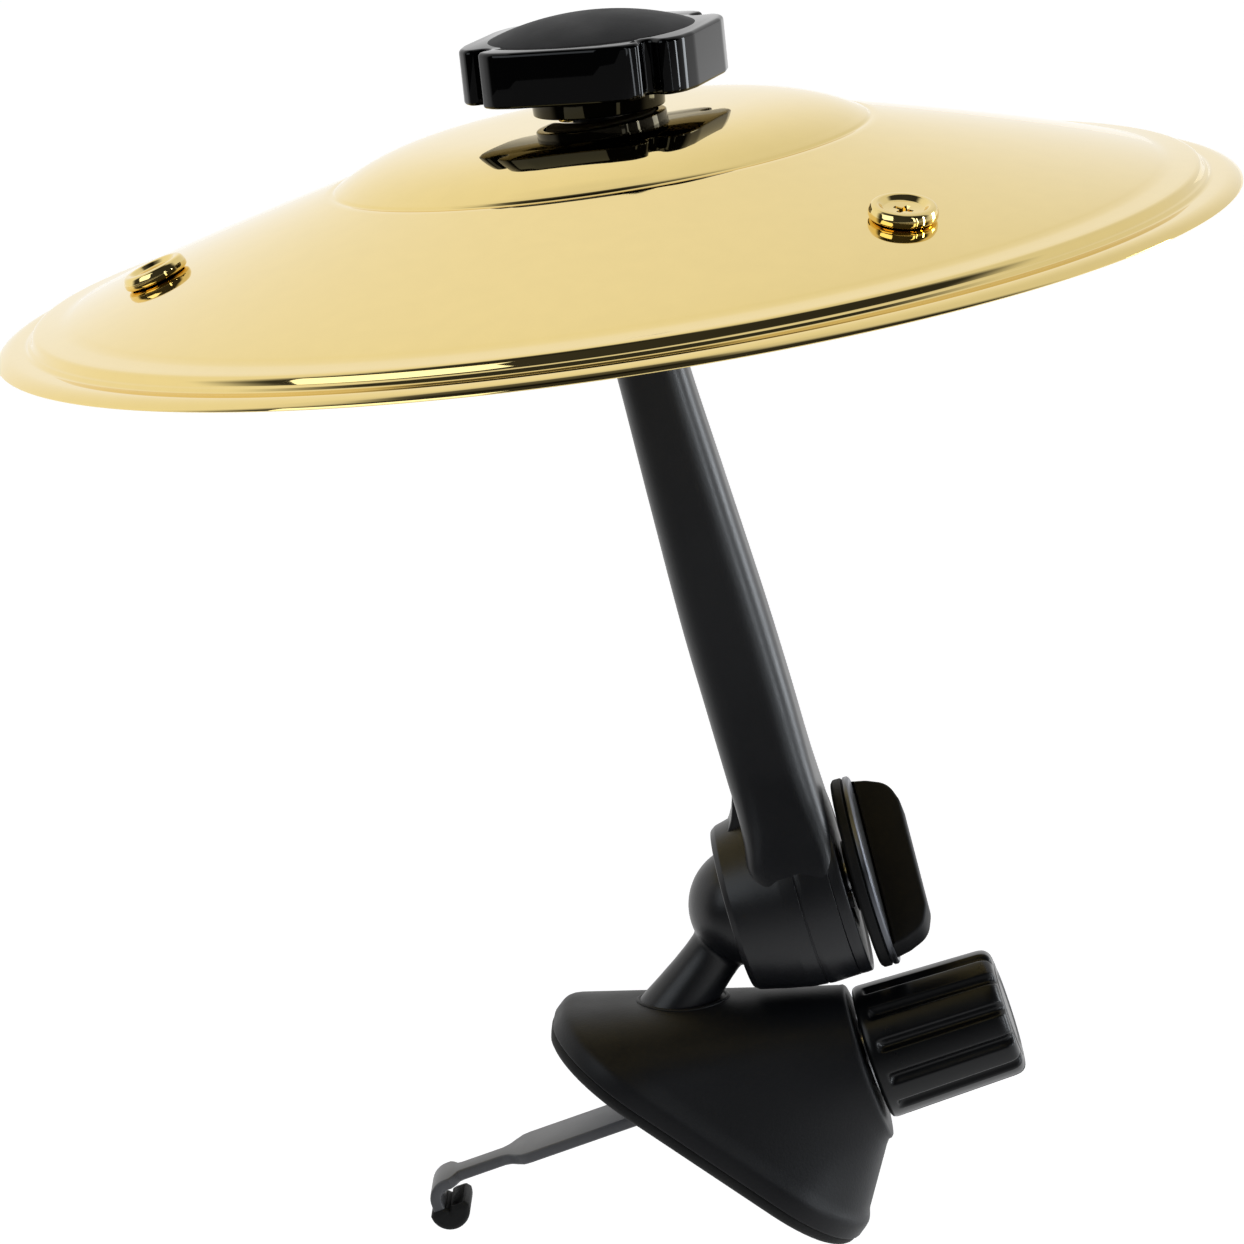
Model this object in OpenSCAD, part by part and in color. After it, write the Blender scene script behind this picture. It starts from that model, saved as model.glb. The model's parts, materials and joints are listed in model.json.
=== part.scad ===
/* [Foot] */
// height of the foot's big face along the slope
face_h = 52.6; // [51:0.1:55]
// width of the foot's big face
face_w = 33; // [31:0.5:36]
// corner radius of the big face
face_r = 14; // [10:0.5:15]
// how far the big face leans from upright, in degrees
face_lean = 38.74; // [37:0.1:40]
// thickness of the rubber pad on the big face
pad_t = 1.8; // [1.6:0.1:2.2]
// diameter of the foot's narrow end
neck_end_d = 22.6; // [22:0.1:22.8]
// length of the straight edge band round the big face
band_t = 2.5; // [2.1:0.1:2.7]
// thickness of the foot's side wall
wall_t = 2.4; // [2:0.1:2.8]

/* [Clamp] */
// tilt of the clamp axis below level, in degrees
clamp_tilt = 2.4; // [2:0.1:2.8]
// diameter of the clamp knob at the foot end
clamp_d = 19.2; // [18.5:0.1:19.3]
// diameter of the clamp knob at the user's end
clamp_out_d = 18.2; // [17.5:0.1:18.6]
// length of the clamp knob
clamp_l = 20; // [18:0.5:20.5]
// number of finger grooves round the clamp knob
clamp_grooves = 12; // [8:1:14]
// diameter of the threaded rod
rod_d = 4; // [3.5:0.1:4]

/* [Hook] */
// width of the hook strip
strip_w = 9.7; // [9:0.1:10]
// thickness of the hook strip
strip_t = 1.6; // [1.4:0.1:1.6]
// width of the strip's narrow neck
strip_neck_w = 3.8; // [3.5:0.1:4.4]
// width of the hook's turned end
hook_w = 8; // [7:0.1:8.4]

/* [Ball joint] */
// ball diameter
ball_d = 17; // [16.9:0.05:17]
// angle of the ball's post below level, in degrees
post_drop = 39.5; // [39:0.1:40]
// post diameter next to the ball
post_d = 7.8; // [7.4:0.1:7.8]
// post diameter where it enters the foot
post_foot_d = 9.9; // [9.5:0.1:10]
// outer diameter of the socket at its mouth
drum_d = 23.6; // [23.4:0.1:23.8]
// outer diameter of the socket at its back
drum_back_d = 27; // [26:0.1:27.2]

/* [Lock knob] */
// diameter of the lock knob's disc
lock_d = 27; // [26:0.1:27.4]
// thickness of the lock knob's disc
lock_disc_t = 1.6; // [1.4:0.1:1.8]
// thickness of the bright ring on the lock knob
lock_ring_t = 1; // [0.8:0.1:1.1]
// height of the lock knob's grip wing
wing_h = 5.9; // [5:0.1:6.5]
// length of the grip wing across the disc
wing_l = 26; // [24:0.1:26.4]
// thickness of the grip wing
wing_t = 4.8; // [4:0.1:5.4]
// turn of the grip wing from upright, in degrees
wing_turn = 40; // [30:1:50]

/* [Arm] */
// arm width across, at the middle of its length
arm_w = 15; // [13:0.5:16]
// arm thickness front to back, at the middle
arm_t = 12.1; // [11.5:0.1:12.5]
// arm thickness front to back, near the top
arm_top_t = 9.6; // [9.6:0.1:10.4]

/* [Cymbal] */
// cymbal diameter
cymbal_d = 170; // [168:0.5:171]
// cymbal sheet thickness
cymbal_t = 0.9; // [0.8:0.05:1]
// diameter of the raised bell
bell_d = 73; // [72:0.5:74]
// height of the bell's top over the rim
bell_top = 19.4; // [19.2:0.1:19.5]
// height of the bell's edge over the rim
bell_edge = 14.4; // [14:0.1:14.6]
// tilt of the cymbal from level, in degrees
cymbal_tilt = 8.06; // [7.5:0.1:8.5]
// distance of the small screws from the centre
sizzle_r = 61.7; // [60:0.1:63]
// head diameter of the small screws
sizzle_head_d = 9; // [8:0.1:9.5]

/* [Top knob] */
// top knob radius over its lobes
star_r = 18.2; // [17.6:0.1:18.6]
// height of the lobed part of the top knob
star_h = 7.5; // [7:0.1:8]
// distance of the knob's flat sides from its axis
star_flat = 16.4; // [15.6:0.1:17.5]
// diameter of the top knob's hub
hub_d = 18; // [17:0.1:18.4]
// tilt of the stud from upright, in degrees
stud_tilt = 10.56; // [10.2:0.1:11]
// stud thread diameter
stud_d = 6; // [5.8:0.1:6]

/* [Hidden] */
$fn = 64;
eps = 0.01;
post_end = 24;
rim_y = -24.24;
rim_z = 123.48;
ball_y = -15.8;
ball_z = 30.6;
clamp_y = -36.24;
clamp_z = 5.4;
clamp_end = 10;
strip_up = 2.1;
stud_base = 20;
stud_shift = -0.65;
neck_drop = -0.9;
run = 0.05;
mouth_u = 2.4;
drum_back_u = -12.5;
cap_back_u = -14.3;
lock_u = -15.5;
ring_u = lock_u - lock_disc_t;
wing_u = ring_u - lock_ring_t;
liner_r = ball_d / 2 + 0.7;
liner_edge_u = -7.7;
seat_r = liner_r + run;
seat_out_r = 10.4;
screw_r = 2.5;
screw_end_u = -18;
screw_tip_u = -11.1;
plate_u = -10.95;
cap_screw_at = 11.55;
cap_screw_d = 1.2;
screw_gap = 0.06;
cap_screw_l = 5.6;
cap_head_d = 2.2;
cap_head_t = 0.5;

// ---- placing helpers ----
module on_face() {
  rotate([-face_lean, 0, 0]) children();
}
// local +Y runs along the clamp axis, origin at the middle of the clamp knob
module on_clamp() {
  translate([0, clamp_y, clamp_z]) rotate([-clamp_tilt, 0, 0]) children();
}
// local +Z runs along the clamp axis towards the hook
module along_clamp(y) {
  on_clamp() translate([0, y, 0]) rotate([-90, 0, 0]) children();
}
// local +Z runs out of the socket's mouth, origin at the ball's centre
module along_socket(u) {
  translate([0, ball_y + u, ball_z]) rotate([-90, 0, 0]) children();
}
// local +Z runs down the ball's post, origin at the ball's centre
module along_post() {
  translate([0, ball_y, ball_z]) rotate([-90 - post_drop, 0, 0]) children();
}
// local +Z is the cymbal's own axis, origin at the centre of its rim
module on_cymbal() {
  translate([0, rim_y, rim_z]) rotate([cymbal_tilt, 0, 0]) children();
}
// local +Z is the stud's axis, origin in the cymbal's centre hole
module on_stud() {
  on_cymbal() translate([0, stud_shift, stud_base]) rotate([stud_tilt - cymbal_tilt, 0, 0]) children();
}
module rounded(w, h, r) {
  for (sx = [-1, 1], sy = [-1, 1])
    translate([sx * (w / 2 - r), sy * (h / 2 - r)]) circle(r);
  square([w - 2 * r, h], center = true);
  square([w, h - 2 * r], center = true);
}
// a plate lying on the big face between two depths
module face_plate(w, h, r, y0, y1) {
  on_face() translate([0, y1, 0.5]) rotate([90, 0, 0]) linear_extrude(y1 - y0) rounded(w, h, r);
}
module tube(ro, ri, h) {
  difference() {
    cylinder(r = ro, h = h);
    translate([0, 0, -1]) cylinder(r = ri, h = h + 2);
  }
}

// ---- foot ----
module foot_outer() {
  hull() {
    face_plate(face_w, face_h, face_r, -pad_t - band_t, -pad_t);
    face_plate(face_w - 2, face_h - 2, face_r - 1, -pad_t - band_t - 1.2, -pad_t);
    translate([0, 0, neck_drop]) along_clamp(clamp_end + 0.7) cylinder(d = neck_end_d, h = 1);
  }
}
module foot_inner() {
  hull() {
    face_plate(face_w - 2 * wall_t, face_h - 2 * wall_t, face_r - wall_t, -pad_t - 3, -pad_t + 1);
    translate([0, 0, neck_drop - 0.4]) along_clamp(clamp_end + 4) cylinder(d = neck_end_d - 8, h = 1);
  }
}
module foot_shell() {
  color("#2a2b2d") {
    difference() {
      foot_outer();
      foot_inner();
      along_clamp(clamp_end - 1) cylinder(d = rod_d + 1, h = 12);
      along_post() cylinder(d = post_foot_d + 0.1, h = post_end + run);
      along_socket(-10) cylinder(r = drum_back_d / 2 + 0.45, h = 20);
    }
    difference() {
      intersection() {
        along_post() translate([0, 0, 17]) cylinder(d = post_foot_d + 4, h = 18);
        foot_outer();
      }
      along_post() cylinder(d = post_foot_d + 0.1, h = post_end + run);
      along_post() cylinder(d = 3.4, h = 40);
      along_post() translate([0, 0, post_end + 2]) cylinder(d = 6.4, h = 12);
      along_clamp(0) cylinder(d = rod_d + 3, h = 60);
      on_clamp() translate([-strip_w / 2 - 1, 15, strip_up - 3]) cube([strip_w + 2, 60, 6]);
    }
  }
}
module foot_pad() {
  color("#1c1c1c") difference() {
    union() {
      face_plate(face_w - 0.6, face_h - 0.6, face_r - 0.3, -pad_t, -pad_t / 2);
      face_plate(face_w - 2, face_h - 2, face_r - 1, -pad_t / 2 - eps, 0);
    }
    on_clamp() translate([-strip_w / 2 - 0.8, 20, strip_up - 2.2]) cube([strip_w + 1.6, 40, 4.4]);
    on_face() translate([-face_w, -0.6, -18.2]) cube([2 * face_w, 2, 1.6]);
  }
}
module ball_stud() {
  color("#333538") difference() {
    union() {
      along_post() sphere(d = ball_d);
      along_post() translate([0, 0, 7]) cylinder(d1 = post_d, d2 = post_foot_d, h = 13.5);
      along_post() translate([0, 0, 20.5 - eps]) cylinder(d = post_foot_d, h = post_end - 20.5);
    }
    along_post() translate([0, 0, 13.5]) cylinder(d = 2.5, h = 20);
  }
}
module post_screw() {
  color("#b9bcc0") {
    along_post() translate([0, 0, 14]) cylinder(d = 2.5, h = post_end - 12);
    along_post() translate([0, 0, post_end + 2]) cylinder(d = 5.5, h = 1.9);
  }
}

// ---- clamp ----
module clamp_section(d) {
  difference() {
    circle(d = d);
    for (k = [0 : clamp_grooves - 1])
      rotate(k * 360 / clamp_grooves + 9.8) translate([d / 2 + 0.2, 0]) circle(r = 1.05, $fn = 24);
  }
}
module clamp_knob() {
  color("#26282b") difference() {
    union() {
      intersection() {
        along_clamp(-clamp_l / 2 - 0.5) linear_extrude(clamp_l - 1.4) clamp_section(clamp_d);
        along_clamp(-clamp_l / 2 - 0.5) rotate_extrude($fn = 96) polygon([[0, 0],
          [clamp_out_d / 2 - 1.7, 0], [clamp_out_d / 2 - 0.6, 0.5], [clamp_out_d / 2, 1.7],
          [clamp_d / 2, clamp_l], [0, clamp_l]]);
      }
      along_clamp(clamp_l / 2 - 2 - eps) cylinder(d1 = clamp_d, d2 = clamp_d - 0.8, h = 2);
    }
    along_clamp(-clamp_l / 2 - 1) cylinder(d = 13.1, h = 2.4);
    along_clamp(-clamp_l / 2) cylinder(d = rod_d + 0.6, h = clamp_l + 4);
    along_clamp(-4) cylinder(d = 7, h = clamp_l);
    along_clamp(clamp_l / 2 - 0.5) cylinder(d = 12.2, h = 3);
  }
}
module clamp_knob_cap() {
  color("#202225") along_clamp(-clamp_l / 2 - 0.9) rotate_extrude() polygon([[0, 0], [5.2, 0],
    [6.2, 0.4], [6.5, 1], [6.5, 2.2], [0, 2.2]]);
}
module clamp_nut() {
  color("#c9a24a") along_clamp(-4) tube(3.5, rod_d / 2 + 0.02, 10);
}
module clamp_washer() {
  color("#c3c6c9") along_clamp(clamp_l / 2 - 0.5 + 0.1) tube(6, rod_d / 2 + 0.4, 0.8);
}
module hook_rod() {
  color("#a9adb2") along_clamp(1) cylinder(d = rod_d, h = 27);
}
module strip_plan() {
  translate([-strip_w / 2, 23]) square([strip_w, 37.6]);
  polygon([[-strip_w / 2, 60.6 - eps], [-strip_neck_w / 2, 63.9], [strip_neck_w / 2, 63.9],
    [strip_w / 2, 60.6 - eps]]);
  translate([-strip_neck_w / 2, 63.9 - eps]) square([strip_neck_w, 8.2]);
}
module hook_side() {
  difference() {
    translate([73.6, -1.2]) circle(r = 2, $fn = 48);
    translate([73.6, -1.2]) circle(r = 0.4, $fn = 24);
    translate([70, -4]) square([3.6, 6]);
    translate([70, -4]) square([8, 2.8]);
  }
  translate([70.7, -0.8]) square([2.9 + eps, strip_t]);
  translate([74, -3.6]) square([strip_t, 2.4 + eps]);
  difference() {
    translate([73.4, -3.6]) circle(r = 2.2, $fn = 48);
    translate([73.4, -3.6]) circle(r = 0.6, $fn = 24);
    translate([70, -3.6]) square([8, 4]);
  }
  translate([71.2, -3.6 - eps]) square([strip_t, 1.4]);
}
module hook_strip() {
  color("#5b5d60") difference() {
    union() {
      on_clamp() translate([0, 0, strip_up - strip_t / 2]) linear_extrude(strip_t) strip_plan();
      on_clamp() translate([-hook_w / 2, 0, strip_up]) rotate([90, 0, 90])
        linear_extrude(hook_w) hook_side();
    }
    along_clamp(0) cylinder(d = rod_d, h = 28);
  }
}
module hook_grip() {
  color("#1b1b1c") difference() {
    on_clamp() translate([-hook_w / 2 - 0.5, 0, strip_up]) rotate([90, 0, 90])
      linear_extrude(hook_w + 1) union() {
        translate([73.4, -3.7]) circle(r = 2.7, $fn = 48);
        translate([70.7, -3.7]) square([5.4, 1.7]);
      }
    on_clamp() translate([-hook_w / 2, 0, strip_up]) rotate([90, 0, 90])
      linear_extrude(hook_w) hook_side();
  }
}

// ---- ball joint ----
module ball_liner() {
  color("#d8d5cc") difference() {
    along_socket(0) sphere(r = liner_r);
    along_socket(0) sphere(r = ball_d / 2 + 0.03);
    along_socket(liner_edge_u) translate([-15, -15, 0]) cube([30, 30, 30]);
  }
}
module ball_seat() {
  color("#44464a") difference() {
    along_socket(-9.9) cylinder(r = seat_out_r, h = 9.6);
    along_socket(0) sphere(r = seat_r);
    along_socket(-20) cylinder(r = 1.2, h = 15);
  }
}
module drum() {
  along_socket(0) rotate_extrude($fn = 96) polygon([[0, drum_back_u], [drum_back_d / 2, drum_back_u],
    [drum_back_d / 2 + 0.15, -9], [drum_back_d / 2, -6], [drum_d / 2 + 0.9, -2], [drum_d / 2, mouth_u - 0.6],
    [drum_d / 2 - 0.5, mouth_u], [0, mouth_u]]);
}
module bar_section(w, t, r, z, y) {
  translate([0, y, z]) linear_extrude(1) rounded(w, t, r);
}
module arm_bar() {
  hull() {
    bar_section(21.4, 10.6, 4, 33, -23.8);
    bar_section(arm_w + 3, 11.5, 4, 50, -24.2);
  }
  hull() {
    bar_section(arm_w + 3, 11.5, 4, 50, -24.2);
    bar_section(arm_w, arm_t, 4, 72, -24.2);
  }
  hull() {
    bar_section(arm_w, arm_t, 4, 72, -24.2);
    bar_section(13, arm_top_t, 3.6, 108, -24.4);
  }
  hull() {
    bar_section(13, arm_top_t, 3.6, 108, -24.4);
    on_stud() translate([0, 0, -10.9]) cylinder(d = 12, h = 1.5);
  }
}
module arm() {
  color("#2f3134") difference() {
    union() {
      drum();
      arm_bar();
    }
    along_socket(drum_back_u - 5) cylinder(r = seat_out_r + run, h = 5 - drum_back_u - 0.2);
    along_socket(0) sphere(r = ball_d / 2 + 0.06);
    along_socket(1.7) cylinder(r1 = 8.2, r2 = 9.3, h = 0.9);
    along_socket(drum_back_u - 6) cylinder(r = drum_back_d / 2 + 3, h = 6 + eps);
    on_stud() translate([0, 0, -26]) cylinder(d = 8.4, h = 30);
    for (k = [-1, 1])
      along_socket(drum_back_u - eps) translate([k * cap_screw_at, 0, 0])
        cylinder(d = cap_screw_d + screw_gap, h = 4.4);
  }
}
module arm_insert() {
  color("#c9a24a") on_stud() translate([0, 0, -25.9]) tube(4.2, stud_d / 2, 14);
}
module socket_cap() {
  color("#2b2d30") difference() {
    union() {
      along_socket(cap_back_u) cylinder(d = drum_back_d, h = drum_back_u - cap_back_u);
      along_socket(drum_back_u - eps) cylinder(r = seat_out_r, h = 1.2);
    }
    along_socket(-20) cylinder(r = screw_r + run, h = 15);
    for (k = [-1, 1])
      along_socket(-20) translate([k * cap_screw_at, 0, 0]) cylinder(d = cap_screw_d + screw_gap, h = 15);
  }
}
module cap_screws() {
  color("#b9bcc0") for (k = [-1, 1]) {
    along_socket(cap_back_u) translate([k * cap_screw_at, 0, 0])
      cylinder(d = cap_screw_d, h = cap_screw_l);
    along_socket(cap_back_u - cap_head_t) translate([k * cap_screw_at, 0, 0])
      cylinder(d = cap_head_d, h = cap_head_t);
  }
}
module pressure_plate() {
  color("#b0b3b7") along_socket(plate_u) cylinder(r = 8, h = 0.75);
}
module lock_washer() {
  color("#b9bcc0") along_socket(lock_u + 0.3) tube(5, screw_r + run, cap_back_u - lock_u - 0.6);
}
module lock_screw() {
  color("#b9bcc0") along_socket(screw_end_u)
    cylinder(r = screw_r, h = screw_tip_u - screw_end_u);
}

// ---- lock knob ----
module wing_side() {
  polygon([[-wing_l / 2, 0], [-wing_l / 2 + 0.5, 1.3], [-wing_l / 2 + 1.2, 2.9],
    [-wing_l / 2 + 2.5, 4.6], [-wing_l / 2 + 4.1, wing_h - 0.4], [-wing_l / 2 + 5.6, wing_h],
    [wing_l / 2 - 5.6, wing_h], [wing_l / 2 - 4.1, wing_h - 0.4], [wing_l / 2 - 2.5, 4.6],
    [wing_l / 2 - 1.2, 2.9], [wing_l / 2 - 0.5, 1.3], [wing_l / 2, 0]]);
}
module lock_knob() {
  color("#2b2c2e") difference() {
    union() {
      along_socket(ring_u) rotate_extrude($fn = 96) polygon([[0, 0], [lock_d / 2 - 0.4, 0],
        [lock_d / 2, 0.4], [lock_d / 2, lock_disc_t - 0.2], [lock_d / 2 - 0.2, lock_disc_t],
        [0, lock_disc_t]]);
      along_socket(wing_u - 1) cylinder(d = lock_d - 5, h = 1 + lock_ring_t + eps);
      intersection() {
        translate([0, ball_y + wing_u, ball_z]) rotate([0, wing_turn, 0])
          translate([-wing_t / 2, 0, 0]) rotate([90, 0, 90]) linear_extrude(wing_t)
            rotate(90) wing_side();
        along_socket(wing_u - wing_h - 1) cylinder(d = lock_d, h = wing_h + 2);
      }
    }
    along_socket(screw_end_u) cylinder(r = screw_r, h = 10);
  }
}
module lock_ring() {
  color("#9a9da1") along_socket(wing_u) rotate_extrude($fn = 96) polygon([
    [lock_d / 2 - 2.5, 0], [lock_d / 2 - 0.2, 0], [lock_d / 2 + 0.05, 0.25],
    [lock_d / 2 + 0.05, lock_ring_t], [lock_d / 2 - 2.5, lock_ring_t]]);
}

// ---- cymbal stack ----
module stud() {
  color("#c3c6c9") on_stud() translate([0, 0, -25.9]) cylinder(d = stud_d, h = 34.6);
}
module cup_washer() {
  color("#c3c6c9") on_stud() translate([0, 0, -9.4]) rotate_extrude() polygon([
    [stud_d / 2 + 0.1, 0], [10, 0], [11, 1.4], [9.6, 1.4], [9.3, 1], [stud_d / 2 + 0.1, 1]]);
}
module stud_sleeve() {
  color("#26282b") on_stud() translate([0, 0, -8.4]) {
    tube(3.75, stud_d / 2 + 0.05, 10.2);
    tube(6.5, stud_d / 2 + 0.05, 1);
  }
}
module lower_felt() {
  color("#3a3a3c") on_stud() translate([0, 0, -7.4]) tube(9, 3.8, 5);
}
function bell_h(r) = bell_edge + (bell_top - bell_edge) * (1 - pow(r / (bell_d / 2), 4.5));
edge_r = cymbal_d / 2;
bow_r = edge_r - 9;
lip_r = edge_r - 4.7;
function bow_h(r) = 2.7 + (bell_edge - 2.7) *
  pow((bow_r - r) / (bow_r - bell_d / 2), 0.9);
bell_pts = [for (r = [5 : 2.25 : 36.5]) [r, bell_h(r)]];
bow_pts = [for (k = [1 : 10]) [bell_d / 2 + (bow_r - bell_d / 2) * k / 10,
  bow_h(bell_d / 2 + (bow_r - bell_d / 2) * k / 10)]];
lip_pts = [[lip_r, 1.35], [lip_r + 0.3, 1.0], [edge_r - 0.5, 0.15], [edge_r, -0.25]];
top_pts = concat(bell_pts, bow_pts, lip_pts);
module cymbal() {
  color("#d9a640") on_cymbal() difference() {
    rotate_extrude($fn = 128) polygon(concat(top_pts,
      [for (k = [len(top_pts) - 1 : -1 : 0]) top_pts[k] - [0, cymbal_t]]));
    for (k = [0 : 2]) rotate(k * 120) at_sizzle() cylinder(d = 3.4, h = 8, center = true);
  }
}
// local +Z stands square on the cymbal where a small screw sits
module at_sizzle() {
  rotate(-141) translate([sizzle_r, 0, bow_h(sizzle_r)]) rotate([0, 16.4, 0]) children();
}
module sizzle_screws() {
  color("#d9a640") on_cymbal() for (k = [0 : 2]) rotate(k * 120) at_sizzle() {
    translate([0, 0, -4.4]) cylinder(d = 3, h = 5);
    difference() {
      translate([0, 0, 0.1]) rotate_extrude() polygon([[0, 0], [sizzle_head_d / 2 - 0.5, 0],
        [sizzle_head_d / 2, 0.6], [sizzle_head_d / 2, 1.9], [sizzle_head_d / 2 - 0.6, 2.6],
        [sizzle_head_d / 2 - 1.2, 2.5], [sizzle_head_d / 2 - 1.9, 1.7], [0, 1.5]]);
      for (a = [0, 90]) rotate(a) translate([-2, -0.35, 1]) cube([4, 0.7, 2]);
    }
  }
}
module sizzle_nuts() {
  color("#d9a640") on_cymbal() for (k = [0 : 2]) rotate(k * 120) at_sizzle()
    translate([0, 0, -3.2]) difference() {
      cylinder(d = 6.4, h = 2, $fn = 6);
      translate([0, 0, -1]) cylinder(d = 3, h = 4);
    }
}

// ---- top knob ----
module upper_washer() {
  color("#3a3a3c") on_stud() translate([0, 0, -0.1]) tube(7.6, 3.9, 0.6);
}
module star_section() {
  difference() {
    intersection() {
      circle(r = star_r, $fn = 128);
      rotate(-17.3) square(2 * star_flat, center = true);
    }
    for (k = [0 : 3]) rotate(k * 90 + 27.7) translate([star_r - 0.8, 0]) circle(r = 2.5, $fn = 36);
  }
}
module star_knob() {
  color("#0d0d0e") difference() {
    union() {
      on_stud() translate([0, 0, 0.1]) cylinder(d1 = hub_d - 0.8, d2 = hub_d + 0.3, h = 3.1);
      on_stud() translate([0, 0, 3.1]) linear_extrude(star_h) star_section();
    }
    on_stud() translate([0, 0, -1]) cylinder(r = 7.9, h = 1.8);
    on_stud() cylinder(d = 8.4, h = 3);
    on_stud() translate([0, 0, 2.3]) cylinder(d = 9, h = 6.8);
    on_stud() translate([0, 0, 9.4]) cylinder(r = 14.2, h = 5);
  }
}
module star_knob_cap() {
  color("#3c3d40") on_stud() translate([0, 0, 9.45]) rotate_extrude($fn = 96) polygon([[0, 0],
    [14.15, 0], [14.15, 1.3], [13.6, 1.65], [11.5, 2.35], [8.5, 3.05], [5, 3.5], [2.5, 3.65], [0, 3.7]]);
}
module star_knob_insert() {
  color("#c9a24a") on_stud() translate([0, 0, 2.4]) tube(4.5, stud_d / 2 + 0.02, 6.6);
}

foot_shell();
foot_pad();
ball_stud();
post_screw();
clamp_knob();
clamp_knob_cap();
clamp_nut();
clamp_washer();
hook_rod();
hook_strip();
hook_grip();
ball_liner();
ball_seat();
arm();
arm_insert();
socket_cap();
cap_screws();
pressure_plate();
lock_washer();
lock_screw();
lock_knob();
lock_ring();
stud();
cup_washer();
stud_sleeve();
lower_felt();
cymbal();
sizzle_screws();
sizzle_nuts();
upper_washer();
star_knob();
star_knob_cap();
star_knob_insert();
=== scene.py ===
import bpy, bmesh, json, math
from mathutils import Matrix, Vector
from mathutils.bvhtree import BVHTree


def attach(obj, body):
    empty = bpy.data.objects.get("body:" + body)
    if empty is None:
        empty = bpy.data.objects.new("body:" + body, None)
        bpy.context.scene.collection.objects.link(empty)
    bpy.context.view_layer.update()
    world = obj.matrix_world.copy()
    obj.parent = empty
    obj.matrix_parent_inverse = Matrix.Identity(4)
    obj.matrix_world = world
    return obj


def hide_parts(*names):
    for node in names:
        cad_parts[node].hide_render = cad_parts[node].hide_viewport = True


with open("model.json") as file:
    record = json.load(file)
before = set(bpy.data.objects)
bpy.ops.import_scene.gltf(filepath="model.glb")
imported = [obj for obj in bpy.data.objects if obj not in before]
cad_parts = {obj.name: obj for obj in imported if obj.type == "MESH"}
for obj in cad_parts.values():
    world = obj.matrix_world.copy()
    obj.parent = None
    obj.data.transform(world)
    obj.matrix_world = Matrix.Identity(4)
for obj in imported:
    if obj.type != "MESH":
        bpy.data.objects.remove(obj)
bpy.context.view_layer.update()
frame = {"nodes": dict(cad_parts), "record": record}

S = bpy.context.scene
S.view_settings.view_transform = "Standard"
S.view_settings.look = "None"


# ---------- camera ----------
view = bpy.data.cameras.new("view")
view.sensor_width = 36.0
view.lens = 160.1
view.clip_start = 0.05
view.clip_end = 50
camera = bpy.data.objects.new("view", view)
S.collection.objects.link(camera)
aim = Matrix((
    (0.02221, 0.232544, -0.972332),
    (-0.958082, -0.272917, -0.087156),
    (-0.285633, 0.933509, 0.216734),
))
camera.matrix_world = Matrix.Translation(Vector((-0.740888, -0.076722, 0.239457))) @ aim.to_4x4()
S.camera = camera


# ---------- node tools ----------
def grey(v):
    return (v, v, v)


def ramp(nt, value, stops):
    """A colour ramp through (position, colour) stops."""
    node = nt.nodes.new("ShaderNodeValToRGB")
    elements = node.color_ramp.elements
    while len(elements) > 1:
        elements.remove(elements[-1])
    elements[0].position = stops[0][0]
    elements[0].color = (*stops[0][1], 1)
    for position, colour in stops[1:]:
        elements.new(position).color = (*colour, 1)
    nt.links.new(value, node.inputs[0])
    return node.outputs[0]


def map_range(nt, value, source, target, interpolation="LINEAR"):
    node = nt.nodes.new("ShaderNodeMapRange")
    node.interpolation_type = interpolation
    for key, v in zip(("From Min", "From Max", "To Min", "To Max"), (*source, *target)):
        node.inputs[key].default_value = v
    nt.links.new(value, node.inputs["Value"])
    return node.outputs[0]


def noise(nt, vector, scale, detail):
    node = nt.nodes.new("ShaderNodeTexNoise")
    node.inputs["Scale"].default_value = scale
    node.inputs["Detail"].default_value = detail
    nt.links.new(vector, node.inputs["Vector"])
    return node.outputs["Fac"]


def bump(nt, height, strength):
    node = nt.nodes.new("ShaderNodeBump")
    node.inputs["Strength"].default_value = strength
    node.inputs["Distance"].default_value = 0.0002
    nt.links.new(height, node.inputs["Height"])
    return node.outputs[0]


# ---------- surroundings ----------
world = bpy.data.worlds.new("studio")
S.world = world
world.use_nodes = True
nt = world.node_tree
nt.nodes.clear()
coord = nt.nodes.new("ShaderNodeTexCoord")
axes = nt.nodes.new("ShaderNodeSeparateXYZ")
nt.links.new(coord.outputs["Generated"], axes.inputs[0])
# white all round, with a dark ceiling straight above
height = ramp(nt, map_range(nt, axes.outputs["Z"], (-1, 1), (0, 1)), [
    (0.0, grey(1.0)), (0.62, grey(1.0)), (0.80, grey(0.97)), (0.93, grey(0.95)),
    (0.968, grey(0.8)), (0.984, grey(0.1)), (1.0, grey(0.1)),
])
# the room is dark behind the camera, bright on the far side and a little dimmer towards -Y
far_side = map_range(nt, axes.outputs["X"], (-0.2, 0.14), (0.04, 1.0), "SMOOTHSTEP")
left_side = map_range(nt, axes.outputs["Y"], (-0.6, 0.05), (0.82, 1.0), "SMOOTHSTEP")
sides = nt.nodes.new("ShaderNodeMath")
sides.operation = "MULTIPLY"
nt.links.new(far_side, sides.inputs[0])
nt.links.new(left_side, sides.inputs[1])
room = nt.nodes.new("ShaderNodeMix")
room.data_type = "RGBA"
room.blend_type = "MULTIPLY"
room.inputs["Factor"].default_value = 1.0
nt.links.new(height, room.inputs[6])
nt.links.new(sides.outputs[0], room.inputs[7])
background = nt.nodes.new("ShaderNodeBackground")
background.inputs["Strength"].default_value = 1.0
nt.links.new(room.outputs[2], background.inputs["Color"])
world_out = nt.nodes.new("ShaderNodeOutputWorld")
nt.links.new(background.outputs[0], world_out.inputs[0])

LIGHT_COLOUR = (0.88, 0.94, 1.0)


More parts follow.
